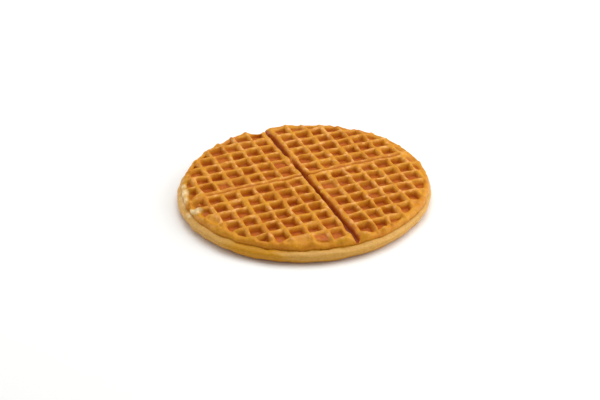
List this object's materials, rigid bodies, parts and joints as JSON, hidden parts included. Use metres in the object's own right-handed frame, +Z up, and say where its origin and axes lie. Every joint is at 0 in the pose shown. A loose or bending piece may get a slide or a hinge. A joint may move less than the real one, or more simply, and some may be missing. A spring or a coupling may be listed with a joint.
{
  "type": "waffle",
  "caption": "Round breakfast waffle with a square grid of pockets on both faces, split into quarters by crossed score grooves, with a seamed rim.",
  "frame": {"origin": "centre of the bounding box at the underside, where the waffle rests", "axes": "+Z up out of the upper face, +Y along the long score groove away from the viewer, +X along the shallow score groove to the right"},
  "size_m": [0.1806, 0.1776, 0.0152],
  "materials": {
    "crust": "golden brown baked crust, dull with a faint buttery sheen"
  },
  "bodies": {
    "root": {"waffle": "crust"}
  },
  "joints": []
}
